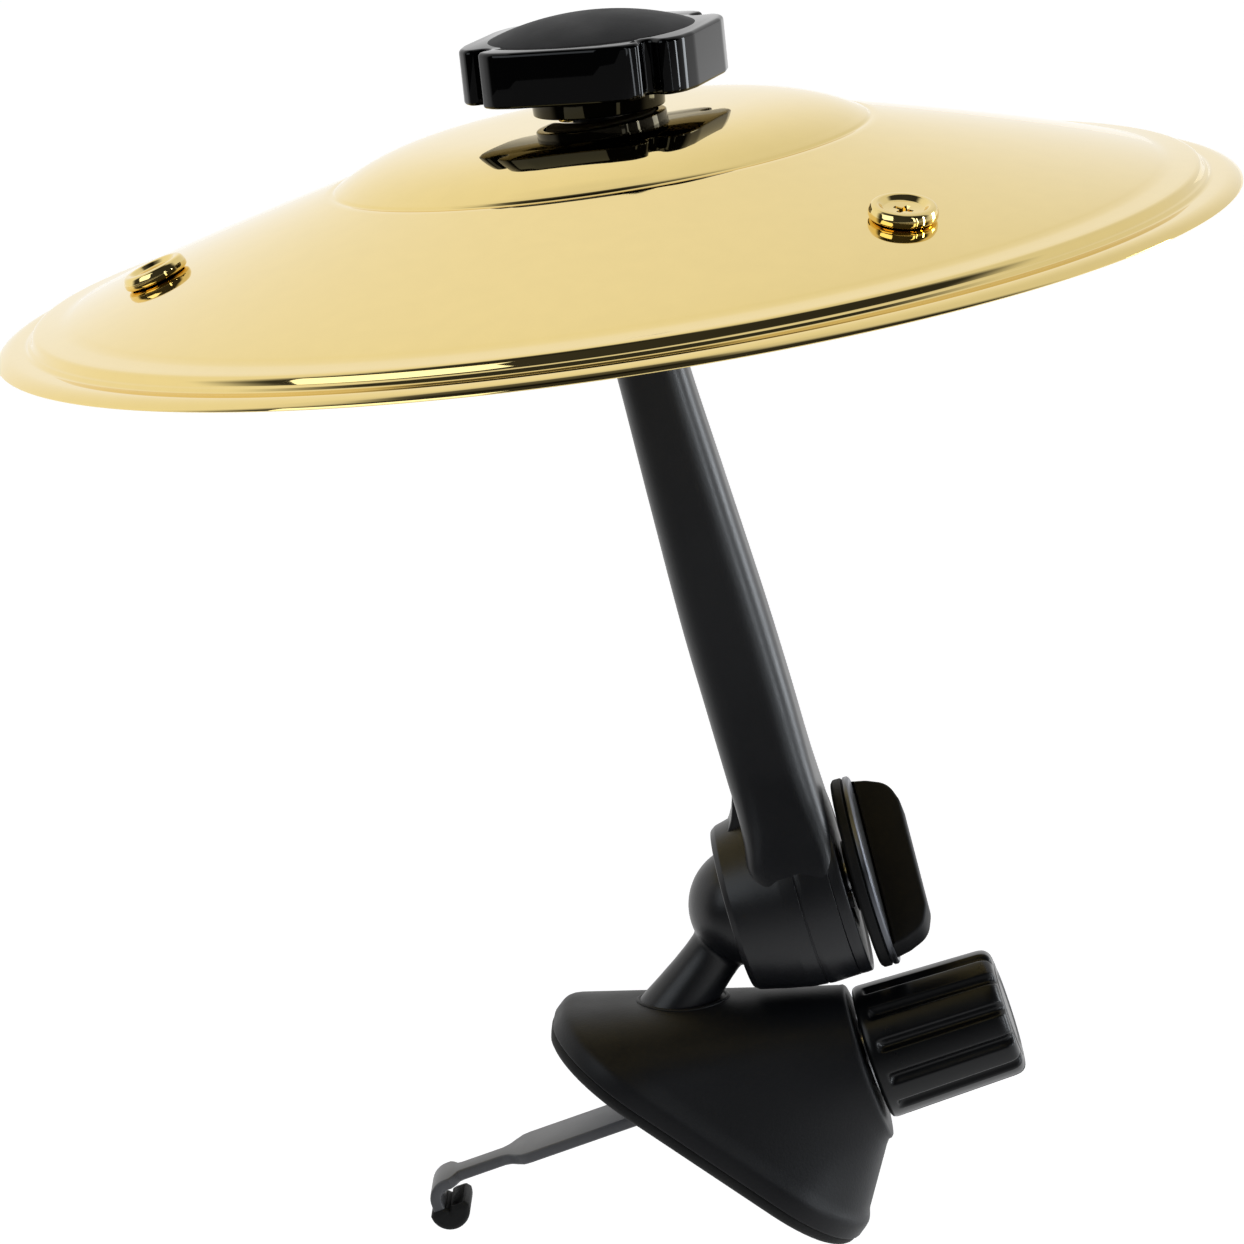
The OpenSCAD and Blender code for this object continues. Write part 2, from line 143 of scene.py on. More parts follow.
def area(name, loc, target, size, size_y, power):
    """A rectangular light at loc, facing target."""
    light = bpy.data.lights.new(name, "AREA")
    light.shape = "RECTANGLE"
    light.size = size
    light.size_y = size_y
    light.energy = power
    light.color = LIGHT_COLOUR
    o = bpy.data.objects.new(name, light)
    S.collection.objects.link(o)
    o.location = loc
    o.rotation_euler = (Vector(target) - Vector(loc)).to_track_quat("-Z", "Y").to_euler()


area("key", (-0.68, 0.62, 0.78), (0, 0, 0.03), 0.75, 0.75, 3.2)
area("fill", (-0.9, -0.7, 0.3), (0, 0, 0.08), 0.12, 0.6, 0.5)
area("strip", (-0.38, -0.9, -0.02), (0, 0, 0.04), 0.07, 0.5, 2.2)
area("strip_low", (-0.7, -0.72, -0.04), (0, 0, 0.06), 0.03, 0.46, 0.3)
area("rim", (0.25, -0.8, 0.0), (0, -0.02, 0.06), 0.2, 0.5, 3)

FLOOR_SIZE = 30
FLOOR_Z = -0.3
floor_mesh = bpy.data.meshes.new("floor")
floor_mesh.from_pydata(
    [(x * FLOOR_SIZE, y * FLOOR_SIZE, 0) for x, y in ((-1, -1), (1, -1), (1, 1), (-1, 1))],
    [], [(0, 1, 2, 3)])
floor = bpy.data.objects.new("floor", floor_mesh)
floor.location = (0, 0, FLOOR_Z)
S.collection.objects.link(floor)


# ---------- materials ----------
def new_mat(name):
    m = bpy.data.materials.new(name)
    m.use_nodes = True
    nt = m.node_tree
    return m, nt, nt.nodes["Principled BSDF"]


def plastic(name, base, rough, relief, grain, spec=0.5):
    """Moulded plastic, rubber, felt or paint: cloudy colour, uneven gloss and a fine grain."""
    m, nt, bsdf = new_mat(name)
    where = nt.nodes.new("ShaderNodeTexCoord").outputs["Object"]
    colour = ramp(nt, noise(nt, where, 45, 4), [
        (0.3, tuple(c * 0.875 for c in base)), (0.7, tuple(c * 1.125 for c in base))])
    roughness = ramp(nt, noise(nt, where, 120, 5), [
        (0.3, grey(rough * 0.9)), (0.75, grey(min(1, rough * 1.12)))])
    nt.links.new(colour, bsdf.inputs["Base Color"])
    nt.links.new(roughness, bsdf.inputs["Roughness"])
    nt.links.new(bump(nt, noise(nt, where, grain, 2), relief), bsdf.inputs["Normal"])
    bsdf.inputs["Specular IOR Level"].default_value = spec
    return m


def metal(name, base, rough, scale=(1, 1, 1), relief=0.02, vary=0.1):
    """Metal with one noise, stretched by scale, in its colour, gloss and relief."""
    m, nt, bsdf = new_mat(name)
    bsdf.inputs["Metallic"].default_value = 1.0
    mapping = nt.nodes.new("ShaderNodeMapping")
    mapping.inputs["Scale"].default_value = scale
    nt.links.new(nt.nodes.new("ShaderNodeTexCoord").outputs["Object"], mapping.inputs["Vector"])
    grain = noise(nt, mapping.outputs[0], 300, 4)
    colour = ramp(nt, grain, [
        (0.3, tuple(c * (1 - vary) for c in base)),
        (0.7, tuple(min(1, c * (1 + vary)) for c in base))])
    roughness = ramp(nt, grain, [(0.3, grey(rough * 0.75)), (0.7, grey(min(1, rough * 1.3)))])
    nt.links.new(colour, bsdf.inputs["Base Color"])
    nt.links.new(roughness, bsdf.inputs["Roughness"])
    nt.links.new(bump(nt, grain, relief), bsdf.inputs["Normal"])
    return m


M = {
    "gold_mirror": metal("gold", (0.86, 0.67, 0.27), 0.035, relief=0.002, vary=0.01),
    "foot_black": plastic("foot_black", (0.0036, 0.0039, 0.0052), 0.5, 0.10, 2600, spec=0.27),
    "satin_black": plastic("satin_black", (0.0058, 0.0062, 0.008), 0.36, 0.06, 2600, spec=0.42),
    "knob_black": plastic("knob_black", (0.0025, 0.0028, 0.0035), 0.3, 0.03, 2200, spec=0.3),
    "matte_black": plastic("matte_black", (0.003, 0.003, 0.0034), 0.6, 0.12, 3000, spec=0.2),
    "gloss_black": plastic("gloss_black", (0.0006, 0.0006, 0.0008), 0.04, 0.0, 800, spec=0.22),
    "cap_grey": plastic("cap_grey", (0.006, 0.006, 0.007), 0.6, 0.08, 2600, spec=0.25),
    "rubber": plastic("rubber", (0.004, 0.004, 0.004), 0.7, 0.2, 2000, spec=0.3),
    "nylon": plastic("nylon", (0.62, 0.6, 0.54), 0.4, 0.05, 1500),
    "felt": plastic("felt", (0.05, 0.05, 0.052), 0.95, 0.8, 900),
    "steel": metal("steel", (0.62, 0.63, 0.65), 0.25),
    "coated_steel": plastic("coated_steel", (0.085, 0.086, 0.092), 0.42, 0.06, 2600),
    "ring_metal": metal("ring_metal", (0.13, 0.135, 0.15), 0.38, scale=(1, 8, 1)),
    "brass": metal("brass", (0.78, 0.6, 0.28), 0.2),
}
slots = {s["node"]: s["material_slot"] for s in frame["record"]["subparts"]}
for name, o in frame["nodes"].items():
    o.data.materials.clear()
    o.data.materials.append(M[slots[name]])

# the floor glows a little more towards the far side
floor_mat, nt, bsdf = new_mat("floor")
axes = nt.nodes.new("ShaderNodeSeparateXYZ")
nt.links.new(nt.nodes.new("ShaderNodeTexCoord").outputs["Object"], axes.inputs[0])
glow = map_range(nt, axes.outputs["X"], (-1.2, 0.7), (0.0, 0.75))
nt.links.new(glow, bsdf.inputs["Emission Strength"])
bsdf.inputs["Emission Color"].default_value = (1, 1, 1, 1)
bsdf.inputs["Base Color"].default_value = (0.6, 0.6, 0.6, 1)
bsdf.inputs["Roughness"].default_value = 0.9
bsdf.inputs["Specular IOR Level"].default_value = 0.1
floor.data.materials.append(floor_mat)


# ---------- frames (lengths below are in mm, and a part is its vertices and faces) ----------
def turn(deg, axis):
    return Matrix.Rotation(math.radians(deg), 4, axis)


def rx(deg):
    return turn(deg, "X")


def tr(x, y, z):
    return Matrix.Translation((x, y, z))


MM = Matrix.Scale(0.001, 4)
NO_MOVE = Matrix.Identity(4)
CYMBAL = tr(0, -24.24, 123.48) @ rx(8.06)
STUD = CYMBAL @ tr(0, -0.65, 20) @ rx(2.5)      # the top knob, foot at z 0
CLAMP = tr(0, -36.24, 5.4) @ rx(-2.4)           # clamp screw along y
CLAMP_Z = CLAMP @ rx(-90)                       # clamp screw along z
SOCKET = tr(0, -15.8, 30.6) @ rx(-90)           # ball's centre, arm's pivot along z
POST = tr(0, -15.8, 30.6) @ rx(-129.5)          # ball's centre, post along z
FACE = rx(-38.74)                               # foot's big face, with its normal along y
OUTLINE_YZ = Matrix(((0, 0, 1, 0), (1, 0, 0, 0), (0, 1, 0, 0), (0, 0, 0, 1)))
WING_AXES = Matrix(((0, 0, 1, 0), (0, -1, 0, 0), (1, 0, 0, 0), (0, 0, 0, 1)))


# ---------- mesh tools ----------
WELD = 2e-6         # m
NO_AREA = 1e-14     # m2
SHARP = 32          # degrees
ON_AXIS = 1e-4      # radius of a profile's end on its axis
TAU = 2 * math.pi


def mesh_object(name, part, place, weld):
    me = bpy.data.meshes.new(name)
    me.from_pydata([tuple(MM @ (place @ Vector(v))) for v in part[0]], [], part[1])
    bm = bmesh.new()
    bm.from_mesh(me)
    if weld:
        bmesh.ops.remove_doubles(bm, verts=bm.verts, dist=WELD)
        flat = [f for f in bm.faces if f.calc_area() < NO_AREA]
        if flat:
            bmesh.ops.delete(bm, geom=flat, context="FACES")
    bmesh.ops.recalc_face_normals(bm, faces=bm.faces)
    bm.to_mesh(me)
    bm.free()
    o = bpy.data.objects.new(name, me)
    S.collection.objects.link(o)
    return o


def shade(me, sharp):
    for p in me.polygons:
        p.use_smooth = True
    me.set_sharp_from_angle(angle=math.radians(sharp))


def piece(name, part, body, slot, nodes=(), place=NO_MOVE, sharp=SHARP):
    """A part as a visible piece that rides on body and stands for the CAD nodes named."""
    o = mesh_object(name, part, place, True)
    shade(o.data, sharp)
    o.data.materials.append(M[slot])
    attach(o, body)
    if nodes:
        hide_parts(*nodes)
    return o


def carve(o, part, place=NO_MOVE):
    """Cuts a part out of a piece."""
    cutter = mesh_object("cut", part, place, False)
    md = o.modifiers.new("cut", "BOOLEAN")
    md.object = cutter
    md.operation = "DIFFERENCE"
    md.solver = "EXACT"
    graph = bpy.context.evaluated_depsgraph_get()
    me = bpy.data.meshes.new_from_object(o.evaluated_get(graph))
    o.modifiers.clear()
    old = o.data
    o.data = me
    bpy.data.meshes.remove(old)
    bpy.data.objects.remove(cutter)
    shade(me, SHARP)


def join(*parts):
    verts, faces = [], []
    for v, f in parts:
        s = len(verts)
        verts += v
        faces += [tuple(i + s for i in q) for q in f]
    return verts, faces


def move(part, place):
    return [tuple(place @ Vector(v)) for v in part[0]], part[1]


def rings(rows, start_cap=False, end_cap=False, closed=False):
    """Faces between rings of equal point count; closed joins the last ring to the first."""
    n = len(rows[0])
    verts = [tuple(p) for r in rows for p in r]
    faces = []
    for i in range(len(rows) if closed else len(rows) - 1):
        a, b = i * n, ((i + 1) % len(rows)) * n
        for j in range(n):
            k = (j + 1) % n
            faces.append((a + j, a + k, b + k, b + j))
    if start_cap:
        faces.append(tuple(range(n)))
    if end_cap:
        s = (len(rows) - 1) * n
        faces.append(tuple(s + j for j in range(n)))
    return verts, faces


def lathe(prof, seg=96):
    """Turns an (r, z) profile round z."""
    turns = [TAU * j / seg for j in range(seg)]
    return rings([[(r * math.cos(a), r * math.sin(a), z) for a in turns] for r, z in prof])


def corner(p0, p1, p2, r, seg, reach, straight):
    """An arc of radius r in the corner p1, or p1 alone where r is 0 or the line hardly bends."""
    p0, p1, p2 = Vector(p0), Vector(p1), Vector(p2)
    a, b = p0 - p1, p2 - p1
    room_a, room_b = a.length * reach, b.length * reach
    a.normalize()
    b.normalize()
    ang = a.angle(b)
    if r <= 0 or math.pi - ang < straight:
        return [tuple(p1)]
    t = min(r / math.tan(ang / 2), room_a, room_b)
    r = t * math.tan(ang / 2)
    c = p1 + (a + b).normalized() * (r / math.sin(ang / 2))
    s, e = p1 + a * t - c, p1 + b * t - c
    a0 = math.atan2(s.y, s.x)
    d = (math.atan2(e.y, e.x) - a0 + math.pi) % TAU - math.pi
    sweep = [a0 + d * k / seg for k in range(seg + 1)]
    return [(c.x + r * math.cos(x), c.y + r * math.sin(x)) for x in sweep]


def fillet(poly, radii, seg=7):
    """Rounds the corners of a closed 2-D polygon."""
    out = []
    for i in range(len(poly)):
        out += corner(poly[i - 1], poly[i], poly[(i + 1) % len(poly)], radii[i], seg, 0.49, 1e-3)
    return out


def arc_prof(prof, radii, seg=5):
    """Rounds the inner corners of an open (r, z) profile."""
    out = [prof[0]]
    for i in range(1, len(prof) - 1):
        out += corner(prof[i - 1], prof[i], prof[i + 1], radii[i], seg, 0.48, 0.02)
    return out + [prof[-1]]


def slab(outline, z0, z1, b0, b1, seg=4):
    """A plate whose edges are rounded by b0 at z0 and by b1 at z1."""
    area2 = sum(outline[i - 1][0] * outline[i][1] - outline[i][0] * outline[i - 1][1]
                for i in range(len(outline)))
    if area2 < 0:
        outline = outline[::-1]

    def ring(z, inset):
        row = []
        for i in range(len(outline)):
            p0, p1, p2 = (Vector(outline[(i + k) % len(outline)]) for k in (-1, 0, 1))
            t = p2 - p0
            if t.length < 1e-9:
                t = Vector((1, 0))
            t.normalize()
            p = p1 - Vector((t.y, -t.x)) * inset
            row.append((p.x, p.y, z))
        return row

    quarter = [math.pi / 2 * k / seg for k in range(seg + 1)]
    lower, upper = [ring(z0, 0)], [ring(z1, 0)]
    if b0 > 0:
        lower = [ring(z0 + b0 * (1 - math.cos(x)), b0 * (1 - math.sin(x))) for x in quarter]
    if b1 > 0:
        upper = [ring(z1 - b1 * (1 - math.sin(x)), b1 * (1 - math.cos(x))) for x in quarter]
    return rings(lower + upper, True, True)


def rrect(w, t, r, n=10):
    """A rectangle w by t with corners of radius r."""
    out = []
    for sx, sy, a0 in ((1, 1, 0), (-1, 1, 90), (-1, -1, 180), (1, -1, 270)):
        for k in range(n + 1):
            x = math.radians(a0 + 90 * k / n)
            out.append((sx * (w / 2 - r) + r * math.cos(x), sy * (t / 2 - r) + r * math.sin(x)))
    return out


# ---------- cymbal ----------
SHEET = 0.9         # thickness
SIZZLE_R = 61.7     # radius the three screws stand on
SIZZLE_SLOPE = 16.4


def bell_h(r):
    """Height of the bell's top at radius r."""
    return 14.4 + 5.0 * (1 - (r / 36.5) ** 4.5)


def bow_h(r):
    """Height of the bow's top at radius r."""
    return 2.7 + 11.7 * ((76 - r) / 39.5) ** 0.9


bell = [(5.0, 19.35)] + [(r, bell_h(r)) for r in [5.6 + 0.6 * i for i in range(51)]]
bell_foot = [(36.2, 14.62), (36.38, 14.5), (36.52, 14.32), (36.64, 14.2), (36.85, 14.17), (37.1, 14.16)]
bow = [(r, bow_h(r)) for r in [37.4 + 0.65 * i for i in range(58)]]
flange = [
    (75.2, 2.98), (76.2, 2.8), (77.2, 2.65), (78.2, 2.52), (79.0, 2.42), (79.4, 2.32),
    (79.62, 2.12), (79.8, 1.8), (80.0, 1.34), (80.12, 1.2), (80.4, 1.14), (80.52, 1.04),
    (80.66, 0.76), (80.8, 0.64), (81.2, 0.6), (82.0, 0.56), (82.8, 0.5), (83.3, 0.42),
    (83.9, 0.22), (84.4, -0.05), (84.75, -0.35), (84.95, -0.6),
]
rim = [(85.0, -0.72), (84.9, -0.84), (84.6, -0.86), (84.35, -0.7)]
top = bell + bell_foot + bow + flange
underside = [(r, z - SHEET) for r, z in reversed(top[:-4])]
piece("cymbal_body", lathe(top + rim + underside + [top[0]], 256),
      "cymbal", "gold_mirror", ["cymbal"], CYMBAL, sharp=40)

screw_head = lathe(arc_prof(
    [(ON_AXIS, 0.06), (4.0, 0.06), (4.5, 0.35), (4.5, 1.15), (4.15, 1.95), (3.3, 2.0), (2.65, 1.35), (ON_AXIS, 1.15)],
    [0, 0.4, 0.5, 0.9, 0.6, 0.5, 0.5, 0], 7), 72)
thread = [(1.5, 0.2)]
for i in range(9):
    thread += [(1.5, -0.45 * i - 0.1), (1.28, -0.45 * i - 0.32)]
screw_shank = lathe(thread + [(1.1, -4.3), (ON_AXIS, -4.35)], 32)


def cross_recess(floor_z, mouth_z, reach=1.9, half=0.42):
    """A cross-shaped hole that narrows towards its floor."""
    inner = half * 1.35
    cross = [
        (reach, half), (inner, inner), (half, reach), (-half, reach), (-inner, inner), (-reach, half),
        (-reach, -half), (-inner, -inner), (-half, -reach), (half, -reach), (inner, -inner), (reach, -half),
    ]
    return rings([[(x * 0.45, y * 0.45, floor_z) for x, y in cross],
                  [(x, y, mouth_z) for x, y in cross]], True, True)


for k in range(3):
    place = (CYMBAL @ turn(-141 + 120 * k, "Z") @ tr(SIZZLE_R, 0, bow_h(SIZZLE_R))
             @ turn(SIZZLE_SLOPE, "Y") @ turn(20 + 31 * k, "Z"))
    head = piece("sizzle_screw_%d" % k, screw_head, "cymbal", "gold_mirror",
                 ["sizzle_screws"] if k == 0 else (), place)
    carve(head, cross_recess(0.3, 2.3), place)
    piece("sizzle_shank_%d" % k, screw_shank, "cymbal", "gold_mirror", (), place)


# ---------- top knob ----------
# one lobe and the notch after it: angle from the lobe's middle, radius, corner radius
LOBE = (
    (-40.2, 18.1, 1.3), (-31, 18.4, 4), (-20, 17.5, 6), (20, 17.5, 6),
    (31, 18.4, 4), (40.2, 18.1, 1.3), (41.6, 15.4, 1.5), (48.4, 15.4, 1.5),
)
FIRST_LOBE = 162.7
DOME_R = 14.0

star, star_radii = [], []
for i in range(4):
    for angle, r, corner_r in LOBE:
        a = math.radians(FIRST_LOBE + 90 * i + angle)
        star.append((r * math.cos(a), r * math.sin(a)))
        star_radii.append(corner_r)
hub = lathe(arc_prof([(7.95, 0.7), (7.95, 0.1), (8.95, 0.1), (9.15, 3.4)], [0, 0, 0.25, 0]))
piece("star_knob_body", join(slab(fillet(star, star_radii, 8), 3.1, 10.6, 0.45, 0.6, 5), hub),
      "top_knob", "gloss_black", ["star_knob"], STUD, sharp=38)
dome = [(0.6 * i, 10.62 + 2.68 * (1 - (0.6 * i / DOME_R) ** 2) ** 0.93) for i in range(1, 24)]
piece("star_knob_dome", lathe([(ON_AXIS, 13.3)] + dome + [(DOME_R, 10.62), (14.15, 10.5)], 128),
      "top_knob", "cap_grey", ["star_knob_cap"], STUD, sharp=45)


# ---------- arm and socket ----------
# z: width, thickness, corner radius, centre y
ARM_KEYS = [
    (30.6, (25.7, 10.6, 3.4, -24.7)),
    (33, (25.5, 11.9, 3.2, -24.1)),
    (35.5, (24.95, 12.4, 2.8, -23.85)),
    (38, (24.1, 12.45, 2.5, -23.83)),
    (41, (22.8, 11.9, 2.8, -24.1)),
    (45, (20.8, 11.7, 3.4, -24.2)),
    (50, (18.8, 11.8, 3.9, -24.15)),
    (60, (16.4, 12.0, 4.2, -24.2)),
    (72, (15.0, 11.9, 4.3, -24.2)),
    (90, (14.0, 10.8, 4.1, -24.3)),
    (108, (13.0, 9.6, 3.7, -24.45)),
    (120, (12.6, 9.8, 4.0, -24.7)),
]
ARM_TOP = 119.9
ARM_STEP = 0.8


def smooth(keys, x):
    """Catmull-Rom through (x, values) keys."""
    for i in range(len(keys) - 1):
        if x <= keys[i + 1][0] or i == len(keys) - 2:
            break
    k0, k1, k2, k3 = keys[max(i - 1, 0)], keys[i], keys[i + 1], keys[min(i + 2, len(keys) - 1)]
    span = k2[0] - k1[0]
    t = (x - k1[0]) / span
    out = []
    for a, b, c, d in zip(k0[1], k1[1], k2[1], k3[1]):
        m1 = (c - a) / (k2[0] - k0[0]) * span
        m2 = (d - b) / (k3[0] - k1[0]) * span
        out.append((2 * t ** 3 - 3 * t ** 2 + 1) * b + (t ** 3 - 2 * t ** 2 + t) * m1
                   + (-2 * t ** 3 + 3 * t ** 2) * c + (t ** 3 - t ** 2) * m2)
    return out


def stud_ring(r, z, n=44):
    """A circle in the stud's frame, with as many points as a section of the arm."""
    angles = [TAU * (j + 0.5) / n for j in range(n)]
    return [STUD @ Vector((r * math.cos(a), r * math.sin(a), z)) for a in angles]


rows = []
z = ARM_KEYS[0][0]
while z <= ARM_TOP:
    width, thick, corner_r, centre = smooth(ARM_KEYS, z)
    taper = 0.036 * min(1, max(0, (45 - z) / 9))
    rows.append([(x * (1 - taper * 2 * y / thick), y + centre, z) for x, y in rrect(width, thick, corner_r)])
    z += ARM_STEP
last = rows[-1]
for f in (0.25, 0.5, 0.75, 1.0):
    rows.append([Vector(p).lerp(q, f) for p, q in zip(last, stud_ring(5.9, -10.2))])
rows.append(stud_ring(5.5, -9.4))
bar = rings(rows, False, True)
drum = lathe(arc_prof(
    [(10.45, -12.45), (13.5, -12.5), (13.66, -8.6), (13.6, -7.95), (13.44, -7.88), (13.44, -7.72),
     (13.58, -7.65), (13.4, -5.5), (12.7, -2), (11.85, 1.6), (11.3, 2.4), (9.35, 2.4),
     (8.25, 1.7), (8.5, 0.6), (8.56, 0.25), (10.45, 0.15), (10.45, -12.45)],
    [0, 0.1, 2, 0.05, 0, 0, 0.05, 4, 4, 0.6, 0.35, 0.25, 0.2, 0, 0, 0, 0]), 128)
web = slab(
    [(-15.9, 42.2), (-16.5, 43.0), (-17.05, 43.95), (-17.6, 45.4), (-18.1, 47.2),
     (-18.3, 48.6), (-20.5, 48.6), (-20.5, 41.0), (-15.9, 41.0)],
    -3.6, 3.6, 0.35, 0.35)
piece("arm_body", join(bar, move(web, OUTLINE_YZ), move(drum, SOCKET)),
      "arm", "satin_black", ["arm"], sharp=38)
cover = arc_prof(
    [(2.6, -14.2), (6.5, -14.2), (7.2, -14.0), (12.2, -14.0), (12.7, -14.3),
     (13.4, -14.3), (13.5, -13.6), (13.5, -12.62), (13.3, -12.5), (10, -12.5)],
    [0, 0.2, 0.2, 0.1, 0.15, 0.3, 0.15, 0.1, 0.05, 0], 4)
piece("socket_cover", lathe(cover, 128), "arm", "satin_black", ["socket_cap"], SOCKET)


# ---------- ball and post ----------
BALL_R = 8.5
NECK_R = 4.3

ball = [(BALL_R * math.sin(a), -BALL_R * math.cos(a)) for a in [math.pi * i / 60 for i in range(1, 50)]]
neck_z = math.sqrt(BALL_R ** 2 - NECK_R ** 2)
post = [
    (NECK_R, neck_z), (4.05, neck_z + 0.35), (3.95, neck_z + 0.9), (3.95, 10), (4.1, 12.5),
    (4.45, 16), (4.8, 19), (4.95, 21), (4.95, 24), (ON_AXIS, 24),
]
piece("ball_post", lathe([(ON_AXIS, -BALL_R)] + ball + post),
      "foot", "satin_black", ["ball_stud"], POST, sharp=50)


# ---------- foot ----------
FOOT_POINTS = 112   # points in each ring of the foot and its cushion
SEAM_POINTS = 96


def even(outline):
    """Points evenly by angle round a closed outline about the origin."""
    res = []
    for j in range(FOOT_POINTS):
        a = TAU * j / FOOT_POINTS
        d = Vector((math.cos(a), math.sin(a)))
        best = None
        for i in range(len(outline)):
            p, q = Vector(outline[i]), Vector(outline[(i + 1) % len(outline)])
            e = q - p
            den = d.x * e.y - d.y * e.x
            if abs(den) < 1e-12:
                continue
            t = (p.x * e.y - p.y * e.x) / den
            u = (p.x * d.y - p.y * d.x) / den
            if t > 0 and -1e-9 <= u <= 1 + 1e-9 and (best is None or t > best):
                best = t
        res.append(d * best)
    return res


def face_row(w, h, r, y):
    """A rounded rectangle at depth y behind the big face's plane, running round from +x."""
    return [FACE @ Vector((p.x, y, p.y + 0.5)) for p in even(rrect(w, h, r, 12))]


def neck_row(r, y):
    """A circle round the clamp screw."""
    angles = [TAU * j / FOOT_POINTS for j in range(FOOT_POINTS)]
    return [CLAMP @ Vector((r * math.cos(a), y, r * math.sin(a) - 0.9)) for a in angles]


neck = ((3, 10.72), (10.6, 10.72), (11.0, 10.8), (11.25, 11.05), (11.32, 11.5))
shell_edge = (
    (31.3, 50.9, 13.15, -5.35), (32.0, 51.6, 13.5, -5.0), (32.6, 52.2, 13.8, -4.55),
    (32.9, 52.5, 13.95, -4.1), (33, 52.6, 14, -3.6), (33, 52.6, 14, -2.15),
    (32.9, 52.5, 13.95, -1.95), (32.6, 52.2, 13.8, -1.83), (28, 47, 12, -1.82),
)
neck_end = neck_row(11.3, 11.6)
flare_end = face_row(31.2, 50.8, 13.1, -5.4)
rows = [neck_row(*row) for row in neck]
for k in range(1, 12):
    rows.append([p.lerp(q, k / 12) for p, q in zip(neck_end, flare_end)])
rows += [face_row(*row) for row in shell_edge]
foot = piece("foot_body", rings(rows), "foot", "foot_black", ["foot_shell"], sharp=42)

# a fine bead where the post enters the foot
tree = BVHTree.FromObject(foot, bpy.context.evaluated_depsgraph_get())
along = (POST.to_3x3() @ Vector((0, 0, 1))).normalized()
seam = []
for j in range(SEAM_POINTS):
    a = TAU * j / SEAM_POINTS
    start = MM @ (POST @ Vector((4.97 * math.cos(a), 4.97 * math.sin(a), 9)))
    point, normal, _, _ = tree.ray_cast(start, along, 0.05)
    seam.append((point * 1000, normal))
rows = []
for i, (point, normal) in enumerate(seam):
    t = (seam[(i + 1) % len(seam)][0] - seam[i - 1][0]).normalized()
    side = t.cross(normal).normalized()
    rows.append([point + normal * (0.22 * math.sin(a)) + side * (0.3 * math.cos(a))
                 for a in [TAU * q / 10 for q in range(10)]])
piece("post_seam", rings(rows, closed=True), "foot", "foot_black", sharp=60)

cushion_rows = (
    (28, 47, 12, -1.8), (31.8, 51.4, 13.3, -1.8), (32.2, 51.8, 13.6, -1.72), (32.4, 52.0, 13.7, -1.4),
    (32.2, 51.8, 13.6, -0.9), (31.6, 51.2, 13.3, -0.45), (30.6, 50.2, 12.8, -0.15), (29.2, 48.8, 12.1, -0.03),
    (27.6, 47.2, 11.4, 0), (27.2, 46.8, 11.2, -0.45), (26.6, 46.2, 10.9, -0.5), (26.2, 45.8, 10.7, -0.1),
    (25.6, 45.2, 10.4, 0), (1, 1.6, 0.4, 0),
)
cushion = piece("foot_cushion", rings([face_row(*row) for row in cushion_rows], True, True),
                "foot", "rubber", ["foot_pad"], sharp=42)
bar_slot = slab(rrect(11.3, 4.4, 1.4, 6), 28, 60, 0, 0)
carve(cushion, move(bar_slot, CLAMP_Z @ tr(0, -2.1, 0)))


# ---------- clamp knob ----------
FLUTE_STEP = 30     # degrees
FIRST_FLUTE = 9.8
FLUTE_HALF = 6.2    # half of a flute's width, in degrees
FLUTE_DEPTH = 0.85
KNOB_POINTS = 288


def flute(angle):
    """How deep a flute is, from 0 to 1, at an angle from its middle."""
    return (1 - (abs(angle) / FLUTE_HALF) ** 2) ** 1.2 if abs(angle) < FLUTE_HALF else 0.0


def flute_run(y, r):
    """How deep the flutes are along the knob, from 0 to 1: they run out near both ends."""
    t = min(1.0, max(0.0, (8.2 - y) / 1.2))
    run = math.sqrt(1 - (1 - t) ** 2)
    if r < 8.6:
        run *= max(0.0, (r - 6.7) / 1.9)
    return run


grip = [(9.9, 7.5), (10.0, 8.4), (9.97, 9.1), (9.8, 9.4), (9.4, 9.55), (9.0, 9.58), (8.8, 9.58)]
grip += [(8.6 - 0.25 * i, 9.57 - 0.006 * i) for i in range(13)]
grip += [(5.3 - 0.8 * i, 9.48 - 0.022 * i) for i in range(17)]
grip += [(-7.9, 9.12), (-8.5, 9.08), (-9.0, 8.98), (-9.4, 8.8), (-9.7, 8.52), (-9.9, 8.15),
         (-10.0, 7.75), (-10.05, 7.3), (-10.05, 6.8), (-9.9, 6.62), (-9.7, 6.58)]
rows = []
for y, r in grip:
    run = flute_run(y, r)
    ring = []
    for j in range(KNOB_POINTS):
        a = 360 * j / KNOB_POINTS
        off = (a + FLUTE_STEP / 2 - FIRST_FLUTE) % FLUTE_STEP - FLUTE_STEP / 2
        rr = r - FLUTE_DEPTH * flute(off) * run
        ring.append((rr * math.cos(math.radians(a)), y, rr * math.sin(math.radians(a))))
    rows.append(ring)
piece("clamp_knob_body", rings(rows), "clamp_wheel", "knob_black", ["clamp_knob"], CLAMP, sharp=60)
knob_end = arc_prof(
    [(ON_AXIS, 10.05), (4.2, 10.05), (4.9, 9.9), (5.6, 10.2), (6.3, 10.15), (6.6, 9.9), (6.6, 8.6)],
    [0, 0.5, 0.3, 0.3, 0.3, 0.2, 0])
piece("clamp_knob_end", lathe([(r, -z) for r, z in knob_end]),
      "clamp_wheel", "knob_black", ["clamp_knob_cap"], CLAMP_Z)


